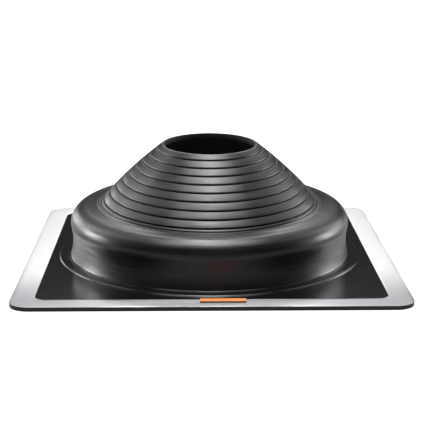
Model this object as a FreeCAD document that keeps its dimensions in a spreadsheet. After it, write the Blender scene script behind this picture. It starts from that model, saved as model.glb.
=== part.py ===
import FreeCAD, Part
import math
import os
import re
import Sketcher

# A roof flashing for round pipes. One moulded rubber boot has a stepped cone, which is cut at the
# ring that suits the pipe, on a round dome with a flat square flange. A soft aluminium frame, which
# is pressed to the shape of the roof, is bonded on the flange's border, and a label sticks to it.
# Millimetres, +Z up, and the origin is the centre of the underside.

fullBands = 8       # bands of full length on the cone, between a short one at each end
innerBends = 3      # the inside of the cone bends at every third ring
shoulderRuns = 4    # straight runs round the inside of the shoulder
sealChannels = 3    # channels round the underside of the flange
sameSize = 0.01     # an edge lies at a wanted size if it is this near to it

# Driving sizes: name, value, meaning.
drivingSizes = [
    ("opening_radius", 32.0, "inside of the rim, where the smallest pipe goes"),
    ("seal_land", 4.0, "height of the straight wall inside the rim"),
    ("lip_width", 1.4, "width of the rim's top with its chamfers"),
    ("lip_chamfer", 0.4, "chamfers of the rim's two edges"),
    ("wall", 3.0, "thickness of the moulded rubber wall"),
    ("first_band", 4.96, "slant length of the band at the rim"),
    ("band_length", 6.59, "slant length of a full band"),
    ("last_band", 2.48, "slant length of the band at the foot of the cone"),
    ("band_slope", 38.63, "slope of the band at the rim, in degrees"),
    ("band_turn", 1.31, "how much steeper each next band is, in degrees"),
    ("groove_width", 1.5, "width of a ring groove at the cone's surface"),
    ("groove_depth", 1.0, "depth of a ring groove"),
    ("collar_width", 3.2, "raised flat ring round the foot of the cone"),
    ("collar_rise", 0.4, "height of that ring over the shoulder"),
    ("shoulder_width", 9.8, "from the foot of the cone to the start of the round shoulder"),
    ("shoulder_slope", 8.0, "fall of the flat shoulder outwards, in degrees"),
    ("shoulder_rounding", 12.0, "outer radius of the round shoulder"),
    ("dome_height", 26.3, "height of the widest place of the dome"),
    ("tuck_angle", 12.3, "how far the round shoulder turns in under its widest place, in degrees"),
    ("wall_hollow", 40.0, "radius of the hollow curve down the dome's side"),
    ("step_reach", 2.0, "from the dome's widest place out to the edge of the foot step"),
    ("step_rise", 0.7, "height of the foot step over the plinth"),
    ("step_chamfer", 0.3, "chamfer of the foot step's edge"),
    ("foot_slant", 0.7, "height and reach of the slant between the dome's side and the foot step"),
    ("plinth_reach", 8.4, "from the dome's widest place out to the edge of the plinth"),
    ("plinth_rise", 1.0, "height of the plinth over the flange"),
    ("plinth_chamfer", 0.5, "chamfer of the plinth's edge"),
    ("plinth_gap", 5.6, "bare flange between the plinth and the frame"),
    ("flange_thickness", 2.35, "thickness of the rubber flange"),
    ("flange_chamfer", 0.4, "chamfer of the flange's lower edge"),
    ("base_corner", 13.0, "corner radius of the flange and the frame"),
    ("frame_width", 14.8, "width of the aluminium frame's sides"),
    ("frame_thickness", 0.4, "thickness of the aluminium sheet"),
    ("frame_corner", 8.0, "inside corner radius of the frame"),
    ("frame_chamfer", 0.1, "chamfer of the sheet's upper edges"),
    ("channel_margin", 5.0, "from the flange's edge to the outermost sealing channel"),
    ("channel_pitch", 4.5, "from one sealing channel to the next"),
    ("channel_width", 2.0, "width of a sealing channel"),
    ("channel_depth", 0.6, "depth of a sealing channel"),
    ("channel_corner", 8.0, "outer corner radius of a sealing channel"),
    ("label_length", 29.0, "length of the label"),
    ("label_width", 9.4, "width of the label"),
    ("label_thickness", 0.15, "thickness of the label"),
    ("label_shift", 6.6, "how far the label sits to the right of the middle"),
    ("label_overhang", 1.8, "how far the label reaches past the frame's inner edge"),
]


def workedOutSizes():
    """Formulas over the driving sizes, in the order in which they follow from each other."""
    lengths = ["first_band"] + ["band_length"] * fullBands + ["last_band"]
    lastRing = len(lengths) - 1
    formulas = [("ring_radius_0", "opening_radius + lip_width")]
    for band, length in enumerate(lengths):
        run = f"{length} * cos(slope_{band})"
        formulas.append((f"slope_{band}", f"band_slope + {band} * band_turn"))
        formulas.append((f"ring_radius_{band + 1}", f"ring_radius_{band} + {run}"))
    formulas += [
        ("cone_foot_radius", f"ring_radius_{lastRing + 1}"),
        ("collar_radius", "cone_foot_radius + collar_width"),
        ("shoulder_centre", "cone_foot_radius + shoulder_width"),
        ("dome_radius", "shoulder_centre + shoulder_rounding"),
        ("shoulder_radius", "shoulder_centre + shoulder_rounding * sin(shoulder_slope)"),
        ("shoulder_height", "dome_height + shoulder_rounding * cos(shoulder_slope)"),
        ("collar_foot", "shoulder_height + (shoulder_radius - collar_radius) * tan(shoulder_slope)"),
        ("collar_edge", "collar_foot + collar_rise"),
        ("collar_top", "collar_edge + collar_width * tan(shoulder_slope)"),
        (f"ring_height_{lastRing + 1}", "collar_top"),
    ]
    for band in reversed(range(len(lengths))):
        drop = f"{lengths[band]} * sin(slope_{band})"
        formulas.append((f"ring_height_{band}", f"ring_height_{band + 1} + {drop}"))
    for ring in range(1, lastRing + 1):
        formulas.append((f"lean_{ring}", f"(slope_{ring - 1} + slope_{ring}) / 2"))
        formulas.append((f"inner_radius_{ring}", f"ring_radius_{ring} - wall * sin(lean_{ring})"))
        formulas.append((f"inner_height_{ring}", f"ring_height_{ring} - wall * cos(lean_{ring})"))
    formulas += [
        ("inner_rounding", "shoulder_rounding - wall"),
        ("inner_shoulder_radius", "shoulder_centre + inner_rounding * sin(shoulder_slope)"),
        ("inner_shoulder_height", "dome_height + inner_rounding * cos(shoulder_slope)"),
        ("inner_shoulder_run", f"inner_shoulder_radius - inner_radius_{lastRing}"),
        ("inner_cone_foot", "inner_shoulder_height + inner_shoulder_run * tan(shoulder_slope)"),
        ("inner_turn", f"(90 - shoulder_slope + tuck_angle) / {shoulderRuns}"),
        ("tuck_radius", "shoulder_centre + shoulder_rounding * cos(tuck_angle)"),
        ("tuck_height", "dome_height - shoulder_rounding * sin(tuck_angle)"),
        ("hollow_centre", "shoulder_centre + (shoulder_rounding + wall_hollow) * cos(tuck_angle)"),
        ("hollow_height", "dome_height - (shoulder_rounding + wall_hollow) * sin(tuck_angle)"),
        ("base_hole_radius", "hollow_centre - wall_hollow - wall"),
        ("plinth_radius", "dome_radius + plinth_reach"),
        ("plinth_top", "flange_thickness + plinth_rise"),
        ("step_radius", "dome_radius + step_reach"),
        ("step_top", "plinth_top + step_rise"),
        ("side_foot_height", "step_top + foot_slant"),
        ("side_foot_drop", "hollow_height - side_foot_height"),
        ("side_foot_radius", "hollow_centre - sqrt(wall_hollow ^ 2 - side_foot_drop ^ 2)"),
        ("frame_half", "plinth_radius + plinth_gap"),
        ("frame_straight", "frame_half - frame_corner"),
        ("base_half", "frame_half + frame_width"),
        ("base_straight", "base_half - base_corner"),
    ]
    return formulas


def fillSheet(document):
    """The spreadsheet that every sketch and feature is bound to."""
    sheet = document.addObject("Spreadsheet::Sheet", "sizes")
    rows = [(name, str(value), meaning) for name, value, meaning in drivingSizes]
    rows += [(name, f"={formula}", "follows") for name, formula in workedOutSizes()]
    for number, (name, content, meaning) in enumerate(rows, start=1):
        sheet.set(f"A{number}", name)
        sheet.set(f"B{number}", content)
        sheet.set(f"C{number}", meaning)
        sheet.setAlias(f"B{number}", name)
    document.recompute()
    return sheet


document = FreeCAD.newDocument("flashing_boot")
sheet = fillSheet(document)
sizeNames = {row[0] for row in drivingSizes} | {row[0] for row in workedOutSizes()}


def bound(expression):
    """The same expression as another object writes it, with every size's name led by the sheet's."""
    def named(match):
        return f"sizes.{match[0]}" if match[0] in sizeNames else match[0]
    return re.sub(r"[a-z]\w*", named, expression)


def size(expression):
    """The number that an expression over the sheet's sizes comes to."""
    return float(sheet.evalExpression(expression))


def newBody(name):
    """A named body, which is one sub-part."""
    body = document.addObject("PartDesign::Body", name)
    body.Label = name
    return body


def newSketch(body, name, role):
    """A sketch on one of the body's own origin planes."""
    sketch = body.newObject("Sketcher::SketchObject", name)
    planes = [feature for feature in body.Origin.OriginFeatures if feature.Role == role]
    sketch.AttachmentSupport = (planes[0], [""])
    sketch.MapMode = "FlatFace"
    return sketch


def limitTo(sketch, kind, *places, expression):
    """A constraint of the sketch that keeps to an expression over the sheet's sizes."""
    limit = sketch.addConstraint(Sketcher.Constraint(kind, *places, size(expression)))
    sketch.setExpression(f"Constraints[{limit}]", bound(expression))


def arcBetween(start, end, radius, turnsLeft):
    """The shorter arc of that radius from start to end."""
    chord = end - start
    rise = math.sqrt(radius ** 2 - (chord.Length / 2) ** 2)
    across = FreeCAD.Vector(-chord.y, chord.x, 0).normalize()
    centre = (start + end) / 2 + across * (rise if turnsLeft else -rise)
    first, last = (start, end) if turnsLeft else (end, start)
    circle = Part.Circle(centre, FreeCAD.Vector(0, 0, 1), radius)
    firstAngle = math.atan2(first.y - centre.y, first.x - centre.x)
    lastAngle = math.atan2(last.y - centre.y, last.x - centre.x)
    return Part.ArcOfCircle(circle, firstAngle, lastAngle)


def drawOutline(sketch, corners):
    """One closed outline. A corner is its two coordinates and, where the run up to it is an arc, that
    arc's radius and "left" or "right" for the way that it turns."""
    points = [FreeCAD.Vector(size(corner[0]), size(corner[1]), 0) for corner in corners]
    runs = []
    for number, corner in enumerate(corners):
        start = points[number - 1]
        end = points[number]
        if len(corner) == 2:
            index = sketch.addGeometry(Part.LineSegment(start, end), False)
            runs.append((index, 1, 2))
            continue
        turnsLeft = corner[3] == "left"
        index = sketch.addGeometry(arcBetween(start, end, size(corner[2]), turnsLeft), False)
        limitTo(sketch, "Radius", index, expression=corner[2])
        runs.append((index, 1, 2) if turnsLeft else (index, 2, 1))
    for number, (index, head, tail) in enumerate(runs):
        before, _, tailBefore = runs[number - 1]
        sketch.addConstraint(Sketcher.Constraint("Coincident", before, tailBefore, index, head))
        limitTo(sketch, "DistanceX", -1, 1, index, tail, expression=corners[number][0])
        limitTo(sketch, "DistanceY", -1, 1, index, tail, expression=corners[number][1])


def drawCircle(sketch, radius):
    """A circle about the sketch's origin."""
    circle = Part.Circle(FreeCAD.Vector(0, 0, 0), FreeCAD.Vector(0, 0, 1), size(radius))
    index = sketch.addGeometry(circle, False)
    sketch.addConstraint(Sketcher.Constraint("Coincident", index, 3, -1, 1))
    limitTo(sketch, "Radius", index, expression=radius)


def drawRoundedSquare(sketch, half, straight, corner):
    """A centred square with round corners: half its side, half its straight part, its corner radius."""
    drawOutline(sketch, [
        (half, straight),
        (straight, half, corner, "left"),
        (f"-({straight})", half),
        (f"-({half})", straight, corner, "left"),
        (f"-({half})", f"-({straight})"),
        (f"-({straight})", f"-({half})", corner, "left"),
        (straight, f"-({half})"),
        (half, f"-({straight})", corner, "left"),
    ])


def addPad(body, sketch, name, length):
    """A pad upwards from its sketch."""
    pad = body.newObject("PartDesign::Pad", name)
    pad.Profile = sketch
    pad.setExpression("Length", bound(length))
    document.recompute()
    return pad


def addTurned(body, sketch, name, kind):
    """A full turn of a section about the body's upright axis: a Revolution or a Groove."""
    turned = body.newObject(f"PartDesign::{kind}", name)
    turned.Profile = sketch
    turned.ReferenceAxis = (sketch, ["V_Axis"])
    turned.Angle = 360
    document.recompute()
    return turned


def addChamfer(body, name, width, edges):
    """A chamfer on edges of the body's present tip."""
    base = body.Tip
    chamfer = body.newObject("PartDesign::Chamfer", name)
    chamfer.Base = (base, edges)
    chamfer.setExpression("Size", bound(width))
    document.recompute()
    return chamfer


def ringEdges(body, places):
    """The circular edges about the upright axis at these places, each a radius and a height."""
    wanted = [(size(radius), size(height)) for radius, height in places]
    found = []
    for number, edge in enumerate(body.Tip.Shape.Edges, start=1):
        if not isinstance(edge.Curve, Part.Circle):
            continue
        here = (edge.Curve.Radius, edge.Curve.Center.z)
        if any(math.dist(here, place) < sameSize for place in wanted):
            found.append(f"Edge{number}")
    return found


def squareEdges(body, halves, height):
    """The edges of the rounded squares of these half sides in the level plane of that height."""
    found = []
    for number, edge in enumerate(body.Tip.Shape.Edges, start=1):
        box = edge.BoundBox
        level = abs(box.ZMin - size(height)) < sameSize and abs(box.ZMax - size(height)) < sameSize
        reach = max(abs(box.XMin), abs(box.XMax), abs(box.YMin), abs(box.YMax))
        if level and any(abs(reach - size(half)) < sameSize for half in halves):
            found.append(f"Edge{number}")
    return found


def wallSection():
    """Corners of the boot's section, from the inner foot round the outside and back down inside."""
    rings = range(1, fullBands + 2)
    outside = [
        ("base_hole_radius", "0"),
        ("plinth_radius", "0"),
        ("plinth_radius", "plinth_top"),
        ("step_radius", "plinth_top"),
        ("step_radius", "step_top"),
        ("side_foot_radius + foot_slant", "step_top"),
        ("side_foot_radius", "side_foot_height"),
        ("tuck_radius", "tuck_height", "wall_hollow", "right"),
        ("shoulder_radius", "shoulder_height", "shoulder_rounding", "left"),
        ("collar_radius", "collar_foot"),
        ("collar_radius", "collar_edge"),
        ("cone_foot_radius", "collar_top"),
    ]
    cone = [(f"ring_radius_{ring}", f"ring_height_{ring}") for ring in reversed(rings)]
    rim = [
        ("ring_radius_0", "ring_height_0"),
        ("opening_radius", "ring_height_0"),
        ("opening_radius", "ring_height_0 - seal_land"),
    ]
    bends = rings[innerBends - 1::innerBends]
    inside = [(f"inner_radius_{ring}", f"inner_height_{ring}") for ring in bends]
    inside.append((f"inner_radius_{rings[-1]}", "inner_cone_foot"))
    for run in reversed(range(shoulderRuns + 1)):
        angle = f"({run} * inner_turn - tuck_angle)"
        radius = f"shoulder_centre + inner_rounding * cos{angle}"
        inside.append((radius, f"dome_height + inner_rounding * sin{angle}"))
    inside.append(("base_hole_radius", "hollow_height"))
    return outside + cone + rim + inside


def grooveSection(ring):
    """Corners of one V-shaped ring groove, along the cone's surface and square to it."""
    section = [
        ("-groove_width / 2", "groove_width"),
        ("-groove_width / 2", "0"),
        ("0", "-groove_depth"),
        ("groove_width / 2", "0"),
        ("groove_width / 2", "groove_width"),
    ]
    corners = []
    for along, out in section:
        radius = f"ring_radius_{ring} + ({along}) * cos(lean_{ring}) + ({out}) * sin(lean_{ring})"
        height = f"ring_height_{ring} - ({along}) * sin(lean_{ring}) + ({out}) * cos(lean_{ring})"
        corners.append((radius, height))
    return corners


def makeBoot():
    """The one-piece rubber moulding: flange, foot, dome and cone."""
    body = newBody("boot")
    flange = newSketch(body, "flange_outline", "XY_Plane")
    drawRoundedSquare(flange, "base_half", "base_straight", "base_corner")
    drawCircle(flange, "(base_hole_radius + plinth_radius) / 2")
    addPad(body, flange, "flange", "flange_thickness")
    section = newSketch(body, "wall_section", "XZ_Plane")
    drawOutline(section, wallSection())
    addTurned(body, section, "dome_and_cone", "Revolution")
    grooves = newSketch(body, "ring_grooves_section", "XZ_Plane")
    for ring in range(1, fullBands + 2):
        drawOutline(grooves, grooveSection(ring))
    uncut = body.Tip.Shape.Volume
    addTurned(body, grooves, "ring_grooves", "Groove")
    cutVolumes["ring_grooves"] = uncut - body.Tip.Shape.Volume
    channels = newSketch(body, "sealing_channels_outline", "XY_Plane")
    for channel in range(sealChannels):
        outer = f"base_half - channel_margin - {channel} * channel_pitch"
        inner = f"{outer} - channel_width"
        innerCorner = "channel_corner - channel_width"
        drawRoundedSquare(channels, outer, f"{outer} - channel_corner", "channel_corner")
        drawRoundedSquare(channels, inner, f"{outer} - channel_corner", innerCorner)
    uncut = body.Tip.Shape.Volume
    pocket = body.newObject("PartDesign::Pocket", "sealing_channels")
    pocket.Profile = channels
    pocket.Reversed = True
    pocket.setExpression("Length", bound("channel_depth"))
    document.recompute()
    cutVolumes["sealing_channels"] = uncut - body.Tip.Shape.Volume
    rim = [("ring_radius_0", "ring_height_0"), ("opening_radius", "ring_height_0")]
    addChamfer(body, "rim_edges", "lip_chamfer", ringEdges(body, rim))
    plinth = [("plinth_radius", "plinth_top")]
    addChamfer(body, "plinth_edge", "plinth_chamfer", ringEdges(body, plinth))
    step = [("step_radius", "step_top")]
    addChamfer(body, "step_edge", "step_chamfer", ringEdges(body, step))
    addChamfer(body, "flange_edge", "flange_chamfer", squareEdges(body, ["base_half"], "0"))
    return body


def makeFrame():
    """The malleable aluminium frame: a square ring of sheet on the flange's border."""
    body = newBody("flange_frame")
    outline = newSketch(body, "frame_outline", "XY_Plane")
    drawRoundedSquare(outline, "base_half", "base_straight", "base_corner")
    drawRoundedSquare(outline, "frame_half", "frame_straight", "frame_corner")
    addPad(body, outline, "frame_sheet", "frame_thickness")
    rims = squareEdges(body, ["base_half", "frame_half"], "frame_thickness")
    addChamfer(body, "frame_edges", "frame_chamfer", rims)
    body.setExpression("Placement.Base.z", bound("flange_thickness"))
    return body


def makeLabel():
    """The plain sticker across the frame's front side, reaching a little past its inner edge."""
    body = newBody("label")
    outline = newSketch(body, "label_outline", "XY_Plane")
    drawOutline(outline, [
        ("label_length / 2", "-label_width / 2"),
        ("label_length / 2", "label_width / 2"),
        ("-label_length / 2", "label_width / 2"),
        ("-label_length / 2", "-label_width / 2"),
    ])
    addPad(body, outline, "label_sheet", "label_thickness")
    body.setExpression("Placement.Base.x", bound("label_shift"))
    body.setExpression("Placement.Base.y", bound("label_overhang - frame_half - label_width / 2"))
    body.setExpression("Placement.Base.z", bound("flange_thickness + frame_thickness"))
    return body


def refuseFaults(bodies):
    """Stops before anything is written if an object failed, a cut missed or a solid isn't sound."""
    for item in document.Objects:
        if "Invalid" in item.State or "Error" in item.State:
            raise RuntimeError(f"{item.Name} failed: {item.State}")
    for name, volume in cutVolumes.items():
        if volume <= 0:
            raise RuntimeError(f"{name} cut nothing")
    for body in bodies:
        if body.Shape.isNull() or not body.Shape.isValid() or len(body.Shape.Solids) != 1:
            raise RuntimeError(f"{body.Label} isn't one sound solid")


cutVolumes = {}
bodies = [makeBoot(), makeFrame(), makeLabel()]
document.recompute()
refuseFaults(bodies)
os.makedirs("parts", exist_ok=True)
for body in bodies:
    body.Shape.exportStep(f"parts/{body.Label}.step")
    box = body.Shape.BoundBox
    print(body.Label, round(body.Shape.Volume), [round(x, 2) for x in (box.XLength, box.YLength, box.ZLength)])
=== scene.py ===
import math

import bmesh
import bpy
from mathutils import Matrix, Vector


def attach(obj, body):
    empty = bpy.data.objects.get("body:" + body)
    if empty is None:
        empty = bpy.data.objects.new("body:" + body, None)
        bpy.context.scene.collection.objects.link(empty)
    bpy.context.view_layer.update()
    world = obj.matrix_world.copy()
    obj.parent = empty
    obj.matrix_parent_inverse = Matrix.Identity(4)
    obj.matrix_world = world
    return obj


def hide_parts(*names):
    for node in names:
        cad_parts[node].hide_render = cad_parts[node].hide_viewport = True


# Looks of a rubber pipe flashing: the moulded boot, its soft aluminium frame and the label.
# Sizes in the pieces' dictionaries are millimetres and degrees, and the studio's are metres; every
# finished mesh is in metres.

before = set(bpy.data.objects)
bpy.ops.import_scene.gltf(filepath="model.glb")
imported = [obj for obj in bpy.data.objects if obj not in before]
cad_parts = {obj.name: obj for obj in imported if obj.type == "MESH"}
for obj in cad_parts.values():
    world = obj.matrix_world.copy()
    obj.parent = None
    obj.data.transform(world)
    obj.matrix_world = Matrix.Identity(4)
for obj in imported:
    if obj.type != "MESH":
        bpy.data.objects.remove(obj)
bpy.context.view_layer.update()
scene = bpy.context.scene
mm = 0.001
weld = 0.0005  # points nearer than this, in millimetres, are one
drawnApart = 20  # millimetres between square loops while they are bridged


# Helpers that every piece uses.

def linearColour(code):
    # sRGB hex to the linear colour that a shader takes
    channels = []
    for place in (0, 2, 4):
        value = int(code[place:place + 2], 16) / 255
        channels.append(value / 12.92 if value <= 0.04045 else ((value + 0.055) / 1.055) ** 2.4)
    return (*channels, 1.0)


def addNode(tree, kind, settings=None, links=None):
    # one node with its settings, and links from other nodes' outputs
    node = tree.nodes.new(kind)
    for name, value in (settings or {}).items():
        if isinstance(name, str) and hasattr(node, name):
            setattr(node, name, value)
        else:
            node.inputs[name].default_value = value
    for name, source in (links or {}).items():
        tree.links.new(source, node.inputs[name])
    return node


def newMaterial(name):
    material = bpy.data.materials.new(name)
    material.use_nodes = True
    material.node_tree.nodes.clear()
    return material, material.node_tree


def finishPiece(name, mesh, material, sharpAngle=40):
    # a mesh drawn in millimetres becomes a smooth-shaded piece in metres
    bmesh.ops.remove_doubles(mesh, verts=mesh.verts, dist=weld)
    bmesh.ops.recalc_face_normals(mesh, faces=mesh.faces)
    bmesh.ops.scale(mesh, verts=mesh.verts, vec=(mm, mm, mm))
    data = bpy.data.meshes.new(name)
    mesh.to_mesh(data)
    mesh.free()
    for face in data.polygons:
        face.use_smooth = True
    data.set_sharp_from_angle(angle=math.radians(sharpAngle))
    data.materials.append(material)
    piece = bpy.data.objects.new(name, data)
    scene.collection.objects.link(piece)
    return piece


def squareLoop(mesh, half, corner, height, sideCuts, cornerSteps):
    # edges of a centred square with round corners
    square = bmesh.ops.create_grid(
        mesh, x_segments=1, y_segments=1, size=half, matrix=Matrix.Translation((0, 0, height)))
    before = set(mesh.edges) - {edge for vert in square["verts"] for edge in vert.link_edges}
    bmesh.ops.bevel(
        mesh, geom=square["verts"], offset=corner, segments=cornerSteps, profile=0.5,
        affect="VERTICES", material=-1)
    loop = [edge for edge in mesh.edges if edge not in before]
    faces = {face for edge in loop for face in edge.link_faces}
    bmesh.ops.delete(mesh, geom=list(faces), context="FACES_ONLY")
    sides = [edge for edge in loop if edge.calc_length() > half]
    bmesh.ops.subdivide_edges(mesh, edges=sides, cuts=sideCuts)
    return [edge for edge in mesh.edges if edge not in before]


def bridgeSquares(mesh, loops, sideCuts, cornerSteps, start=None, end=None):
    # square loops drawn well apart, bridged in turn and then set at their own heights; without a start
    # and an end they close into a ring
    drawn = [squareLoop(mesh, half, corner, -drawnApart * (number + 1), sideCuts, cornerSteps)
             for number, (half, corner, height) in enumerate(loops)]
    chain = ([start] if start else []) + drawn + [end if end else drawn[0]]
    for one, other in zip(chain, chain[1:]):
        bmesh.ops.bridge_loops(mesh, edges=one + other)
    for (half, corner, height), loop in zip(loops, drawn):
        for vert in {vert for edge in loop for vert in edge.verts}:
            vert.co.z = height


# The camera stands in front, a little left, and looks down.

view = {
    "place": (-13.53, -829.87, 240.34), "turn": -1.203, "down": 14.30, "roll": 0.135,
    "lens": 100.5, "sensor": 36, "nearest": 0.02, "farthest": 50,
}


def placeCamera():
    data = bpy.data.cameras.new("camera")
    data.lens = view["lens"]
    data.sensor_width = view["sensor"]
    data.clip_start = view["nearest"]
    data.clip_end = view["farthest"]
    camera = bpy.data.objects.new("camera", data)
    scene.collection.objects.link(camera)
    aim = Matrix.Rotation(math.radians(view["turn"]), 4, "Z")
    aim = aim @ Matrix.Rotation(math.radians(90 - view["down"]), 4, "X")
    aim = aim @ Matrix.Rotation(math.radians(view["roll"]), 4, "Z")
    camera.matrix_world = Matrix.Translation(Vector(view["place"]) * mm) @ aim
    scene.camera = camera


placeCamera()
print("camera placed")


# Finishes, one function for each real material.

def mouldedRubber():
    # Carbon-black EPDM rubber, compression moulded in a turned steel mould: near black with a broad soft
    # sheen, faint lathe rings copied from the mould, a grey bloom in patches and paler rubbed lips, and
    # painted shade on the side that faces the axis. The flat flange is drawn glossier than the dome and
    # without rings, as from a polished plate.
    material, tree = newMaterial("mouldedEpdmRubber")
    place = addNode(tree, "ShaderNodeTexCoord").outputs["Object"]
    split = addNode(tree, "ShaderNodeSeparateXYZ", links={0: place})
    flat = addNode(tree, "ShaderNodeCombineXYZ", links={0: split.outputs[0], 1: split.outputs[1]})
    radius = addNode(tree, "ShaderNodeVectorMath", {"operation": "LENGTH"}, {0: flat.outputs[0]})
    turn = addNode(tree, "ShaderNodeMath", {"operation": "ARCTAN2"}, {
        0: split.outputs[1], 1: split.outputs[0]})
    slowTurn = addNode(tree, "ShaderNodeMath", {"operation": "MULTIPLY", 1: 0.004}, {0: turn.outputs[0]})
    lathe = addNode(tree, "ShaderNodeCombineXYZ", links={
        0: radius.outputs["Value"], 1: split.outputs[2], 2: slowTurn.outputs[0]})
    # turning marks from 1.6 down to 0.2 mm apart, coarser than the real 0.2 mm so that they show
    marks = addNode(tree, "ShaderNodeTexNoise", {
        "noise_dimensions": "3D", "Scale": 620, "Detail": 3, "Roughness": 0.6}, {"Vector": lathe.outputs[0]})
    # mould-release patches some 30 mm across
    patches = addNode(tree, "ShaderNodeTexNoise", {"Scale": 34, "Detail": 4, "Roughness": 0.55}, {
        "Vector": place})
    # grain of the blasted mould, about 0.7 mm
    grain = addNode(tree, "ShaderNodeTexNoise", {"Scale": 1400, "Detail": 2, "Roughness": 0.5}, {
        "Vector": place})
    # 0 on the flange and its plinth, 1 on the dome and the cone
    plinthTop = bootSizes()["plinthTop"]
    above = addNode(tree, "ShaderNodeMapRange", {
        1: (plinthTop + 0.1) * mm, 2: (plinthTop + 0.9) * mm, 3: 0.0, 4: 1.0}, {0: split.outputs[2]})
    domeMarks = addNode(tree, "ShaderNodeMath", {"operation": "MULTIPLY"}, {
        0: marks.outputs[0], 1: above.outputs[0]})
    edges = addNode(tree, "ShaderNodeNewGeometry").outputs["Pointiness"]
    rubbed = addNode(tree, "ShaderNodeMapRange", {1: 0.505, 2: 0.56, 3: 0.0, 4: 1.0}, {0: edges})
    worn = addNode(tree, "ShaderNodeMath", {"operation": "MULTIPLY"}, {
        0: rubbed.outputs[0], 1: above.outputs[0]})
    bloom = addNode(tree, "ShaderNodeMapRange", {1: 0.42, 2: 0.72, 3: 0.0, 4: 0.35}, {0: patches.outputs[0]})
    blackToBloom = addNode(tree, "ShaderNodeMix", {
        "data_type": "RGBA", 6: linearColour("09090a"), 7: linearColour("121213")}, {0: bloom.outputs[0]})
    outerColour = addNode(tree, "ShaderNodeMix", {"data_type": "RGBA", 7: linearColour("2a2a2b")}, {
        0: worn.outputs[0], 6: blackToBloom.outputs[2]})
    # the side that faces the axis was against the core and is matt; its colour is set near black as painted
    # shade inside the opening and the hollow
    facing = addNode(tree, "ShaderNodeVectorMath", {"operation": "DOT_PRODUCT"}, {
        0: addNode(tree, "ShaderNodeNewGeometry").outputs["True Normal"], 1: flat.outputs[0]})
    shadedAxisSide = addNode(tree, "ShaderNodeMapRange", {1: -0.004, 2: -0.012, 3: 0.0, 4: 1.0}, {
        0: facing.outputs["Value"]})
    colour = addNode(tree, "ShaderNodeMix", {"data_type": "RGBA", 7: linearColour("010101")}, {
        0: shadedAxisSide.outputs[0], 6: outerColour.outputs[2]})
    markedRoughness = addNode(tree, "ShaderNodeMapRange", {1: 0.3, 2: 0.7, 3: 0.28, 4: 0.4}, {
        0: domeMarks.outputs[0]})
    patchRoughness = addNode(tree, "ShaderNodeMapRange", {1: 0.35, 2: 0.7, 3: -0.02, 4: 0.05}, {
        0: patches.outputs[0]})
    domePatches = addNode(tree, "ShaderNodeMath", {"operation": "MULTIPLY"}, {
        0: patchRoughness.outputs[0], 1: above.outputs[0]})
    blasted = addNode(tree, "ShaderNodeMath", {"operation": "ADD"}, {
        0: markedRoughness.outputs[0], 1: domePatches.outputs[0]})
    polishedPlate = addNode(tree, "ShaderNodeMapRange", {3: 0.66, 4: 1.0}, {0: above.outputs[0]})
    outerRoughness = addNode(tree, "ShaderNodeMath", {"operation": "MULTIPLY"}, {
        0: blasted.outputs[0], 1: polishedPlate.outputs[0]})
    roughness = addNode(tree, "ShaderNodeMix", {3: 0.75}, {
        0: shadedAxisSide.outputs[0], 2: outerRoughness.outputs[0]})
    markBump = addNode(tree, "ShaderNodeBump", {"Strength": 0.9, "Distance": 0.00006}, {
        "Height": domeMarks.outputs[0]})
    bump = addNode(tree, "ShaderNodeBump", {"Strength": 0.15, "Distance": 0.00003}, {
        "Height": grain.outputs[0], "Normal": markBump.outputs[0]})
    shader = addNode(tree, "ShaderNodeBsdfPrincipled", {"IOR": 1.5}, {
        "Base Color": colour.outputs[2], "Roughness": roughness.outputs[0], "Normal": bump.outputs[0]})
    addNode(tree, "ShaderNodeOutputMaterial", links={"Surface": shader.outputs[0]})
    return material


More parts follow.
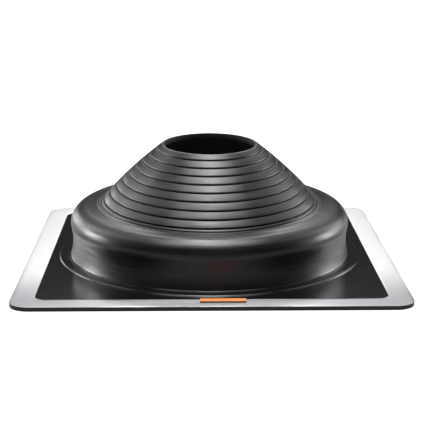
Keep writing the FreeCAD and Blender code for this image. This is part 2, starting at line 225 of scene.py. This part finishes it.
def softAluminium():
    # Dead-soft rolled aluminium sheet, mill finish: pale silver with a satin sheen, fine rolling lines
    # and slow waves where it has been handled, with painted shade on the ends of the front strip.
    material, tree = newMaterial("rolledAluminiumSheet")
    place = addNode(tree, "ShaderNodeTexCoord").outputs["Object"]
    # rolling lines about 1 mm apart and 60 mm long, drawn coarser than the real 0.1 mm so that they show
    stretched = addNode(tree, "ShaderNodeMapping", {"Scale": (16, 900, 60)}, {"Vector": place})
    lines = addNode(tree, "ShaderNodeTexNoise", {"Scale": 1, "Detail": 4, "Roughness": 0.65}, {
        "Vector": stretched.outputs[0]})
    # handling waves some 60 mm across, and small scuffs of about 4 mm
    waves = addNode(tree, "ShaderNodeTexNoise", {"Scale": 16, "Detail": 2}, {"Vector": place})
    scuffs = addNode(tree, "ShaderNodeTexNoise", {"Scale": 240, "Detail": 5, "Roughness": 0.7}, {
        "Vector": place})
    clean = addNode(tree, "ShaderNodeMix", {
        "data_type": "RGBA", 6: linearColour("e8e9eb"), 7: linearColour("f6f6f7")}, {0: lines.outputs[0]})
    # painted shade: the ends of the front strip are darkened, so that they read an even grey under the card
    # behind
    split = addNode(tree, "ShaderNodeSeparateXYZ", links={0: place})
    toFront = addNode(tree, "ShaderNodeMapRange", {
        "interpolation_type": "SMOOTHSTEP", 1: -0.12, 2: -0.03, 3: 1.0, 4: 0.0}, {0: split.outputs[1]})
    sideways = addNode(tree, "ShaderNodeMath", {"operation": "ABSOLUTE"}, {0: split.outputs[0]})
    toSide = addNode(tree, "ShaderNodeMapRange", {
        "interpolation_type": "SMOOTHSTEP", 1: 0.035, 2: 0.075, 3: 0.0, 4: 1.0}, {0: sideways.outputs[0]})
    paintedShadeFrontEnds = addNode(tree, "ShaderNodeMath", {"operation": "MULTIPLY"}, {
        0: toFront.outputs[0], 1: toSide.outputs[0]})
    toneWithPaintedShade = addNode(tree, "ShaderNodeMix", {"data_type": "RGBA", 7: linearColour("a4a5a8")}, {
        0: paintedShadeFrontEnds.outputs[0], 6: clean.outputs[2]})
    lineRoughness = addNode(tree, "ShaderNodeMapRange", {1: 0.3, 2: 0.7, 3: 0.36, 4: 0.44}, {
        0: lines.outputs[0]})
    scuffRoughness = addNode(tree, "ShaderNodeMapRange", {1: 0.5, 2: 0.8, 3: 0.0, 4: 0.05}, {
        0: scuffs.outputs[0]})
    roughness = addNode(tree, "ShaderNodeMath", {"operation": "ADD"}, {
        0: lineRoughness.outputs[0], 1: scuffRoughness.outputs[0]})
    lineBump = addNode(tree, "ShaderNodeBump", {"Strength": 0.2, "Distance": 0.00002}, {
        "Height": lines.outputs[0]})
    bump = addNode(tree, "ShaderNodeBump", {"Strength": 0.4, "Distance": 0.00015}, {
        "Height": waves.outputs[0], "Normal": lineBump.outputs[0]})
    shader = addNode(tree, "ShaderNodeBsdfPrincipled", {"Metallic": 1.0}, {
        "Base Color": toneWithPaintedShade.outputs[2], "Roughness": roughness.outputs[0], "Normal": bump.outputs[0]})
    addNode(tree, "ShaderNodeOutputMaterial", links={"Surface": shader.outputs[0]})
    return material


def printedVinyl():
    # Self-adhesive vinyl film, screen printed: a plain orange field over a dark strip, with a soft gloss
    # and a slightly uneven ink.
    material, tree = newMaterial("printedVinylFilm")
    place = addNode(tree, "ShaderNodeTexCoord").outputs["Object"]
    split = addNode(tree, "ShaderNodeSeparateXYZ", links={0: place})
    stripEdge = labelPlaces()["front"] + label["darkStrip"]
    strip = addNode(tree, "ShaderNodeMapRange", {
        1: stripEdge * mm, 2: (stripEdge + label["inkEdge"]) * mm, 3: 0.0, 4: 1.0}, {0: split.outputs[1]})
    # ink mottle of about 3 mm
    ink = addNode(tree, "ShaderNodeTexNoise", {"Scale": 330, "Detail": 3, "Roughness": 0.6}, {
        "Vector": place})
    orange = addNode(tree, "ShaderNodeMix", {
        "data_type": "RGBA", 6: linearColour("f0773a"), 7: linearColour("f88f55")}, {0: ink.outputs[0]})
    dark = addNode(tree, "ShaderNodeMix", {
        "data_type": "RGBA", 6: linearColour("2a2628"), 7: linearColour("3b3638")}, {0: ink.outputs[0]})
    colour = addNode(tree, "ShaderNodeMix", {"data_type": "RGBA"}, {
        0: strip.outputs[0], 6: dark.outputs[2], 7: orange.outputs[2]})
    roughness = addNode(tree, "ShaderNodeMapRange", {1: 0.3, 2: 0.7, 3: 0.32, 4: 0.45}, {
        0: ink.outputs[0]})
    bump = addNode(tree, "ShaderNodeBump", {"Strength": 0.2, "Distance": 0.00003}, {"Height": ink.outputs[0]})
    shader = addNode(tree, "ShaderNodeBsdfPrincipled", {"IOR": 1.46}, {
        "Base Color": colour.outputs[2], "Roughness": roughness.outputs[0], "Normal": bump.outputs[0]})
    addNode(tree, "ShaderNodeOutputMaterial", links={"Surface": shader.outputs[0]})
    return material


# The rubber boot: sizes follow the moulding.

boot = {
    "openingRadius": 32.0, "sealLand": 4.0, "lipWidth": 1.4, "lipRounding": 0.55, "wall": 3.0,
    # bands between the rings: lengths down the slope, the first slope, and how much each one steepens
    "firstBand": 4.96, "bandLength": 6.59, "lastBand": 2.48, "fullBands": 8,
    "bandSlope": 38.63, "bandTurn": 1.31,
    "grooveWidth": 1.4, "grooveDepth": 1.15, "grooveLip": 0.32, "grooveFloor": 0.15,
    "footGrooveWidth": 0.9, "footGrooveDepth": 0.55, "footGrooveLip": 0.2, "footGrooveFloor": 0.12,
    # collar, shoulder and the dome's hollow side
    "collarWidth": 3.2, "collarRise": 0.4, "collarRounding": 0.25, "collarFootRounding": 0.15,
    "shoulderWidth": 9.8, "shoulderSlope": 8.0, "shoulderRadius": 12.0, "domeHeight": 26.3, "tuck": 12.3,
    "hollowRadius": 40.0, "footRadius": 0.35, "innerRounding": 1.2, "landRounding": 0.5,
    # step and plinth round the wall's foot, measured out from the dome
    "stepReach": 2.0, "stepRise": 0.15, "stepRounding": 0.2, "stepFootRounding": 0.3,
    "plinthReach": 8.4, "plinthRise": 1.0, "plinthFootRounding": 0.3, "plinthStart": 0.8,
    "plinthGap": 5.6,
    "beadWidth": 1.2, "beadDrop": 0.55, "beadRounding": 0.5, "beadLean": 0.1, "beadEdge": 0.2,
    # flange, the lip round its sheet, and the sealing channels underneath
    "flangeThickness": 2.35, "flangeRounding": 0.15, "frameWidth": 14.8, "baseCorner": 13.0,
    "edgeLip": 0.2, "edgeLipRise": 0.36, "edgeLipSoft": 0.05,
    "channelMargin": 5.0, "channelPitch": 4.5, "channelWidth": 2.0, "channelDepth": 0.6,
    "channelCorner": 8.0, "channels": 3,
    # steps of the turned and rounded parts
    "turnSteps": 256, "cornerSteps": 16, "edgeSteps": 5, "innerSteps": 14, "shoulderSteps": 26,
    "hollowSteps": 16,
    # how the soft cone rests: sag of the rim, forward nod in degrees, and where the nod begins
    "sag": 1.4, "rimTilt": 2.4, "footTilt": 3.4, "shoulderShare": 0.2, "bendRadius": 66.0,
    "restHeight": 5.0,
}


def bootSizes():
    # radii and heights that follow from the boot's sizes
    b = boot
    lengths = [b["firstBand"]] + [b["bandLength"]] * b["fullBands"] + [b["lastBand"]]
    slopes = [math.radians(b["bandSlope"] + number * b["bandTurn"]) for number in range(len(lengths))]
    radii = [b["openingRadius"] + b["lipWidth"]]
    for length, slope in zip(lengths, slopes):
        radii.append(radii[-1] + length * math.cos(slope))
    fall = math.radians(b["shoulderSlope"])
    centre = radii[-1] + b["shoulderWidth"]
    shoulder = (centre + b["shoulderRadius"] * math.sin(fall),
                b["domeHeight"] + b["shoulderRadius"] * math.cos(fall))
    collarRadius = radii[-1] + b["collarWidth"]
    collarFoot = shoulder[1] + (shoulder[0] - collarRadius) * math.tan(fall)
    collarTop = collarFoot + b["collarRise"] + b["collarWidth"] * math.tan(fall)
    heights = [collarTop]
    for length, slope in zip(reversed(lengths), reversed(slopes)):
        heights.insert(0, heights[0] + length * math.sin(slope))
    domeRadius = centre + b["shoulderRadius"]
    tuck = math.radians(b["tuck"])
    hollow = (centre + (b["shoulderRadius"] + b["hollowRadius"]) * math.cos(tuck),
              b["domeHeight"] - (b["shoulderRadius"] + b["hollowRadius"]) * math.sin(tuck))
    return {
        "slopes": slopes, "rings": list(zip(radii, heights)), "centre": centre, "shoulder": shoulder,
        "fall": fall, "collarRadius": collarRadius, "collarFoot": collarFoot, "domeRadius": domeRadius,
        "tuck": tuck, "hollow": hollow,
        "plinthRadius": domeRadius + b["plinthReach"], "plinthTop": b["flangeThickness"] + b["plinthRise"],
        "stepRadius": domeRadius + b["stepReach"],
        "stepTop": b["flangeThickness"] + b["plinthRise"] + b["stepRise"],
        "baseHalf": domeRadius + b["plinthReach"] + b["plinthGap"] + b["frameWidth"],
    }


def lineTo(mesh, last, radius, height):
    vert = mesh.verts.new((radius, 0, height))
    mesh.edges.new((last, vert))
    return vert


def arcTo(mesh, last, centre, degrees, steps):
    made = bmesh.ops.spin(
        mesh, geom=[last], cent=(centre[0], 0, centre[1]), axis=(0, 1, 0), dvec=(0, 0, 0),
        angle=math.radians(degrees), steps=steps, use_merge=False, use_duplicate=False)
    return [vert for vert in made["geom_last"] if isinstance(vert, bmesh.types.BMVert)][0]


def lineThrough(mesh, last, corners, rounded):
    # straight lines through corners, each with a rounding and its segments, which are cut later
    for place, rounding, segments in corners:
        last = lineTo(mesh, last, *place)
        rounded.append((last, rounding, segments))
    return last


def drawBootSection(mesh, s):
    # the wall's section as one open chain, from the inner foot over the rim to the plinth's foot
    b = boot
    rounded = []
    rings = s["rings"]
    slopes = s["slopes"]
    leans = [(one + other) / 2 for one, other in zip(slopes[:-1], slopes[1:])]
    inner = [(radius - b["wall"] * math.sin(lean), height - b["wall"] * math.cos(lean))
             for (radius, height), lean in zip(rings[1:-1], leans)]
    # inner side: up the hollow, round under the shoulder and up inside the cone
    innerRadius = b["shoulderRadius"] - b["wall"]
    sweep = 90 - b["shoulderSlope"] + b["tuck"]
    baseHole = s["hollow"][0] - b["hollowRadius"] - b["wall"]
    pen = mesh.verts.new((baseHole, 0, 0))
    pen = lineTo(mesh, pen, baseHole, s["hollow"][1])
    pen = lineTo(mesh, pen, s["centre"] + innerRadius * math.cos(s["tuck"]),
                 b["domeHeight"] - innerRadius * math.sin(s["tuck"]))
    pen = arcTo(mesh, pen, (s["centre"], b["domeHeight"]), -sweep, b["innerSteps"])
    innerShoulder = s["centre"] + innerRadius * math.sin(s["fall"])
    underShoulder = b["domeHeight"] + innerRadius * math.cos(s["fall"])
    coneFoot = underShoulder + (innerShoulder - inner[-1][0]) * math.tan(s["fall"])
    pen = lineThrough(mesh, pen, [((inner[-1][0], coneFoot), b["innerRounding"], 5)], rounded)
    pen = lineThrough(mesh, pen, [(place, b["innerRounding"], 3) for place in reversed(inner[2::3])], rounded)
    # sealing land and rim
    top = rings[0][1]
    pen = lineThrough(mesh, pen, [
        ((b["openingRadius"], top - b["sealLand"]), b["landRounding"], 3),
        ((b["openingRadius"], top), b["lipRounding"], 5),
        (rings[0], b["lipRounding"], 5)], rounded)
    # a groove at each ring between two bands
    for ring, lean in zip(rings[1:-1], leans):
        along = Vector((math.cos(lean), -math.sin(lean)))
        out = Vector((math.sin(lean), math.cos(lean)))
        ring = Vector(ring)
        pen = lineThrough(mesh, pen, [
            (ring - along * b["grooveWidth"] / 2, b["grooveLip"], 4),
            (ring - out * b["grooveDepth"], b["grooveFloor"], 2),
            (ring + along * b["grooveWidth"] / 2, b["grooveLip"], 4)], rounded)
    # small groove and collar at the cone's foot
    foot = Vector(rings[-1])
    downBand = Vector((math.cos(slopes[-1]), -math.sin(slopes[-1])))
    halfGroove = b["footGrooveWidth"] / 2
    pen = lineThrough(mesh, pen, [
        (foot - downBand * halfGroove, b["footGrooveLip"], 3),
        (foot - Vector((b["footGrooveDepth"] / 2, b["footGrooveDepth"])), b["footGrooveFloor"], 2),
        (foot + Vector((halfGroove, -halfGroove * math.tan(s["fall"]))), b["footGrooveLip"], 3),
        ((s["collarRadius"], s["collarFoot"] + b["collarRise"]), b["collarRounding"], 3),
        ((s["collarRadius"], s["collarFoot"]), b["collarFootRounding"], 2)], rounded)
    # shoulder, the dome's hollow side, then the step and the plinth with its bead
    pen = lineTo(mesh, pen, *s["shoulder"])
    pen = arcTo(mesh, pen, (s["centre"], b["domeHeight"]), sweep, b["shoulderSteps"])
    footDrop = math.asin((s["hollow"][1] - s["stepTop"]) / b["hollowRadius"])
    pen = arcTo(mesh, pen, s["hollow"], -(b["tuck"] + math.degrees(footDrop)), b["hollowSteps"])
    rounded.append((pen, b["footRadius"], 6))
    pen = lineThrough(mesh, pen, [
        ((s["stepRadius"], s["stepTop"]), b["stepRounding"], 4),
        ((s["stepRadius"], s["plinthTop"]), b["stepFootRounding"], 3),
        ((s["plinthRadius"] - b["beadWidth"], s["plinthTop"]), b["beadRounding"], 5),
        ((s["plinthRadius"] - b["beadLean"], s["plinthTop"] - b["beadDrop"]), b["beadEdge"], 4),
        ((s["plinthRadius"], b["flangeThickness"]), b["plinthFootRounding"], 3)], rounded)
    lineTo(mesh, pen, s["plinthRadius"] + b["plinthStart"], b["flangeThickness"])
    for vert, size, segments in rounded:
        bmesh.ops.bevel(
            mesh, geom=[vert], offset=size, segments=segments, profile=0.5, affect="VERTICES", material=-1)


def relaxCone(mesh, s):
    # the soft cone settles a little and nods forward, and the dome's shoulder follows it by its share
    b = boot
    foot = s["rings"][-1][1]
    rise = s["rings"][0][1] - foot
    for vert in mesh.verts:
        radius = math.hypot(vert.co.x, vert.co.y)
        level = min(1.0, max(0.0, (vert.co.z - b["restHeight"]) / (b["domeHeight"] - b["restHeight"])))
        up = min(1.0, max(0.0, (vert.co.z - foot) / rise))
        inward = min(1.0, max(0.0, (s["domeRadius"] - radius) / (s["domeRadius"] - b["bendRadius"])))
        inward = inward * inward * (3 - 2 * inward)
        nod = (b["shoulderShare"] + (1 - b["shoulderShare"]) * inward) * level * level * (3 - 2 * level)
        tilt = nod * (b["footTilt"] + (b["rimTilt"] - b["footTilt"]) * up)
        vert.co.z += vert.co.y * math.tan(math.radians(tilt)) - b["sag"] * up


def buildBoot():
    b = boot
    s = bootSizes()
    mesh = bmesh.new()
    drawBootSection(mesh, s)
    bmesh.ops.spin(
        mesh, geom=mesh.verts[:] + mesh.edges[:], cent=(0, 0, 0), axis=(0, 0, 1), dvec=(0, 0, 0),
        angle=math.radians(360), steps=b["turnSteps"], use_merge=True, use_duplicate=False)
    bmesh.ops.remove_doubles(mesh, verts=mesh.verts, dist=weld)
    ends = [edge for edge in mesh.edges if len(edge.link_faces) == 1]
    hole = [edge for edge in ends if edge.verts[0].co.z < b["flangeThickness"] / 2]
    foot = [edge for edge in ends if edge not in hole]
    cuts = b["turnSteps"] // 4 - b["cornerSteps"] - 1
    half = s["baseHalf"]
    corner = b["baseCorner"]
    # flange: over the lip round the sheet, down the outer edge and across the underside with its channels
    lip = b["edgeLip"]
    soft = b["edgeLipSoft"]
    lipTop = b["flangeThickness"] + b["edgeLipRise"]
    loops = [(half - lip, corner - lip, b["flangeThickness"]), (half - lip, corner - lip, lipTop)]
    loops += [(half - soft, corner - soft, lipTop), (half, corner, lipTop - soft)]
    for step in range(b["edgeSteps"] + 1):
        angle = math.radians(90 * step / b["edgeSteps"])
        inward = b["flangeRounding"] * (1 - math.cos(angle))
        loops.append((half - inward, corner - inward, b["flangeRounding"] * (1 - math.sin(angle))))
    for channel in range(b["channels"]):
        outer = half - b["channelMargin"] - channel * b["channelPitch"]
        inner = outer - b["channelWidth"]
        innerCorner = b["channelCorner"] - b["channelWidth"]
        loops += [(outer, b["channelCorner"], 0), (outer, b["channelCorner"], b["channelDepth"])]
        loops += [(inner, innerCorner, b["channelDepth"]), (inner, innerCorner, 0)]
    bridgeSquares(mesh, loops, cuts, b["cornerSteps"], foot, hole)
    relaxCone(mesh, s)
    return finishPiece("bootMoulding", mesh, mouldedRubber())


bootPiece = buildBoot()
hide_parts("boot")
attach(bootPiece, "root")
print("boot moulded:", len(bootPiece.data.polygons), "faces")


# The soft aluminium frame.

sheet = {
    "inset": 0.2, "thickness": 0.4, "outerCorner": 12.8, "innerCorner": 8.0, "edgeRounding": 0.1,
    "waveHeight": 0.03, "waveLength": 62.0, "waveShift": 0.7, "crossWave": 5.1,
    "sideCuts": 60, "cornerSteps": 12, "strips": 6,
}


def buildFrame():
    # one closed sheet ring: down the outer edge, across the back, up the window's edge and over the face
    f = sheet
    outer = bootSizes()["baseHalf"] - f["inset"]
    inner = bootSizes()["baseHalf"] - boot["frameWidth"]
    bottom = boot["flangeThickness"]
    top = bottom + f["thickness"]
    soft = f["edgeRounding"]
    chamfer = soft * 0.3
    loops = []
    for step in range(f["strips"] + 1):
        share = step / f["strips"]
        half = inner + soft + (outer - inner - 2 * soft) * share
        corner = f["innerCorner"] + soft + (f["outerCorner"] - f["innerCorner"] - 2 * soft) * share
        loops.append((half, corner, top))
    loops.append((outer - chamfer, f["outerCorner"] - chamfer, top - chamfer))
    loops.append((outer, f["outerCorner"], top - soft))
    loops.append((outer, f["outerCorner"], bottom))
    loops.append((inner, f["innerCorner"], bottom))
    loops.append((inner, f["innerCorner"], top - soft))
    loops.append((inner + chamfer, f["innerCorner"] + chamfer, top - chamfer))
    mesh = bmesh.new()
    bridgeSquares(mesh, loops, f["sideCuts"], f["cornerSteps"])
    # slow waves from handling, on the face only and downward only
    for vert in mesh.verts:
        if vert.co.z > top - chamfer / 3:
            along = vert.co.x / f["waveLength"] * 2 * math.pi + f["waveShift"]
            across = vert.co.y / f["waveLength"] * f["crossWave"]
            vert.co.z -= f["waveHeight"] * (0.5 + 0.5 * math.sin(along) * math.cos(across))
    return finishPiece("frameSheet", mesh, softAluminium())


framePiece = buildFrame()
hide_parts("flange_frame")
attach(framePiece, "root")
print("frame rolled:", len(framePiece.data.polygons), "faces")


# The sticker on the frame's front side.

label = {
    "left": -7.9, "width": 29.0, "fromEdge": 7.2, "overhang": 1.8, "thickness": 0.15, "corner": 0.5,
    "darkStrip": 3.4, "inkEdge": 0.25, "droop": 0.25, "acrossCuts": 16, "alongCuts": 6, "cornerSteps": 4,
}


def labelPlaces():
    # the film's front and back, and the sheet's inner edge that its back hangs over
    half = bootSizes()["baseHalf"]
    sheetEdge = boot["frameWidth"] - half
    return {"front": label["fromEdge"] - half, "back": sheetEdge + label["overhang"], "sheetEdge": sheetEdge}


def buildLabel():
    # a thin film with round corners; its back hangs over the sheet's inner edge and droops a little
    t = label
    places = labelPlaces()
    width = t["width"]
    depth = places["back"] - places["front"]
    mesh = bmesh.new()
    film = bmesh.ops.create_grid(mesh, x_segments=1, y_segments=1, size=0.5)
    bmesh.ops.scale(mesh, verts=film["verts"], vec=(width, depth, 1))
    bmesh.ops.bevel(
        mesh, geom=film["verts"], offset=t["corner"], segments=t["cornerSteps"], profile=0.5,
        affect="VERTICES", material=-1)
    raised = bmesh.ops.extrude_face_region(mesh, geom=mesh.faces[:])
    top = [item for item in raised["geom"] if isinstance(item, bmesh.types.BMVert)]
    bmesh.ops.translate(mesh, verts=top, vec=(0, 0, t["thickness"]))
    for length, cuts, across in ((width, t["acrossCuts"], Vector((1, 0, 0))),
                                 (depth, t["alongCuts"], Vector((0, 1, 0)))):
        for number in range(1, cuts):
            bmesh.ops.bisect_plane(
                mesh, geom=mesh.verts[:] + mesh.edges[:] + mesh.faces[:],
                plane_co=across * length * (number / cuts - 0.5), plane_no=across)
    seat = boot["flangeThickness"] + sheet["thickness"]
    middle = (t["left"] + width / 2, (places["front"] + places["back"]) / 2, seat)
    bmesh.ops.translate(mesh, verts=mesh.verts, vec=middle)
    for vert in mesh.verts:
        over = max(0.0, vert.co.y - places["sheetEdge"]) / t["overhang"]
        vert.co.z -= t["droop"] * over ** 1.5
    return finishPiece("labelFilm", mesh, printedVinyl(), 60)


labelPiece = buildLabel()
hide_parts("label")
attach(labelPiece, "root")
print("label cut:", len(labelPiece.data.polygons), "faces")


# Floor, world and lamps.

studio = {
    "floorRadius": 6.0, "floorColour": "959595", "glowNear": 0.15, "glowFar": 0.6, "glowLeast": 0.82,
    "world": 0.05, "glossWorld": 0.04, "aimHeight": 0.04, "lampDistance": 1.0,
}

softboxes = {
    # turn round the object from +X, height above level, width, height, watts; all hang a metre away
    "overheadFront": (270, 70, 0.25, 0.25, 4.6),
    "overheadMiddle": (270, 88, 0.25, 0.25, 2.8),
    "overheadBack": (90, 80, 0.25, 0.25, 2.0),
    "overheadBackLow": (90, 69, 0.25, 0.25, 3.1),
    "backCard": (90, 36, 0.5, 0.25, 2.35),
    "overheadLeft": (180, 75, 0.25, 0.25, 1.2),
    "overheadRight": (0, 75, 0.25, 0.25, 1.1),
    "shoulderLeft": (180, 48, 0.25, 0.25, 0.35),
    "shoulderRight": (0, 48, 0.25, 0.25, 0.25),
    "frontLeft": (225, 60, 0.25, 0.25, 1.3),
    "frontLeftHigh": (225, 72, 0.25, 0.25, 0.7),
    "frontRight": (315, 60, 0.25, 0.25, 0.6),
    "frontRightHigh": (315, 72, 0.25, 0.25, 1.2),
    "backLeftHigh": (135, 50, 0.25, 0.25, 0.3),
    "backRightHigh": (45, 50, 0.25, 0.25, 0.3),
    "sideLeftLow": (165, 6, 0.3, 0.3, 4.9),
    "sideLeftLowBack": (150, 6, 0.36, 0.36, 0.9),
    "farLeftLow": (130, 6, 0.3, 0.3, 1.3),
    "sideLeftMiddle": (150, 20, 0.36, 0.36, 0.9),
    "sideLeftHigh": (150, 34, 0.36, 0.36, 0.85),
    "sideLeftHighFront": (165, 34, 0.36, 0.36, 0.8),
    "farLeftHigh": (120, 34, 0.36, 0.36, 0.35),
    "sideRightLow": (15, 6, 0.28, 0.28, 4.1),
    "sideRightLowBack": (33, 6, 0.36, 0.36, 0.95),
    "sideRightMiddle": (33, 20, 0.36, 0.36, 1.0),
    "sideRightHigh": (30, 34, 0.36, 0.36, 0.45),
    "sideRightHighFront": (15, 34, 0.36, 0.36, 0.5),
    "farRightHigh": (60, 34, 0.36, 0.36, 0.6),
}


def paleFloor():
    # a lit matt floor that glows for the camera, most of all far off, so that only the near shadow stays
    material, tree = newMaterial("paleFloor")
    place = addNode(tree, "ShaderNodeTexCoord").outputs["Object"]
    distance = addNode(tree, "ShaderNodeVectorMath", {"operation": "LENGTH"}, {0: place})
    glow = addNode(tree, "ShaderNodeMapRange", {
        1: studio["glowNear"], 2: studio["glowFar"], 3: studio["glowLeast"], 4: 1.0}, {
        0: distance.outputs["Value"]})
    path = addNode(tree, "ShaderNodeLightPath")
    strength = addNode(tree, "ShaderNodeMath", {"operation": "MULTIPLY"}, {
        0: path.outputs["Is Camera Ray"], 1: glow.outputs[0]})
    diffuse = addNode(tree, "ShaderNodeBsdfDiffuse", {"Color": linearColour(studio["floorColour"])})
    emission = addNode(tree, "ShaderNodeEmission", links={"Strength": strength.outputs[0]})
    both = addNode(tree, "ShaderNodeAddShader", links={0: diffuse.outputs[0], 1: emission.outputs[0]})
    addNode(tree, "ShaderNodeOutputMaterial", links={"Surface": both.outputs[0]})
    return material


def layFloor():
    mesh = bmesh.new()
    bmesh.ops.create_circle(mesh, cap_ends=True, segments=96, radius=studio["floorRadius"])
    data = bpy.data.meshes.new("floor")
    mesh.to_mesh(data)
    mesh.free()
    data.materials.append(paleFloor())
    floor = bpy.data.objects.new("floor", data)
    scene.collection.objects.link(floor)


def lightWorld():
    # faint fill light, fainter still in glossy rays, and plain white for the camera
    world = bpy.data.worlds.new("studio")
    world.use_nodes = True
    tree = world.node_tree
    tree.nodes.clear()
    path = addNode(tree, "ShaderNodeLightPath")
    plain = addNode(tree, "ShaderNodeBackground", {"Strength": studio["world"]})
    gloss = addNode(tree, "ShaderNodeBackground", {"Strength": studio["glossWorld"]})
    white = addNode(tree, "ShaderNodeBackground", {"Color": (1, 1, 1, 1), "Strength": 1.0})
    lit = addNode(tree, "ShaderNodeMixShader", links={
        0: path.outputs["Is Glossy Ray"], 1: plain.outputs[0], 2: gloss.outputs[0]})
    seen = addNode(tree, "ShaderNodeMixShader", links={
        0: path.outputs["Is Camera Ray"], 1: lit.outputs[0], 2: white.outputs[0]})
    addNode(tree, "ShaderNodeOutputWorld", links={"Surface": seen.outputs[0]})
    scene.world = world


def hangSoftboxes():
    aim = Vector((0, 0, studio["aimHeight"]))
    for name, (turn, lift, width, height, watts) in softboxes.items():
        data = bpy.data.lights.new(name, "AREA")
        data.shape = "RECTANGLE"
        data.size = width
        data.size_y = height
        data.energy = watts
        lamp = bpy.data.objects.new(name, data)
        around = math.radians(turn)
        level = math.cos(math.radians(lift))
        out = Vector((level * math.cos(around), level * math.sin(around), math.sin(math.radians(lift))))
        lamp.location = aim + out * studio["lampDistance"]
        lamp.rotation_euler = (-out).to_track_quat("-Z", "Y").to_euler()
        scene.collection.objects.link(lamp)


layFloor()
lightWorld()
hangSoftboxes()
scene.view_settings.view_transform = "Standard"
print("studio lit")
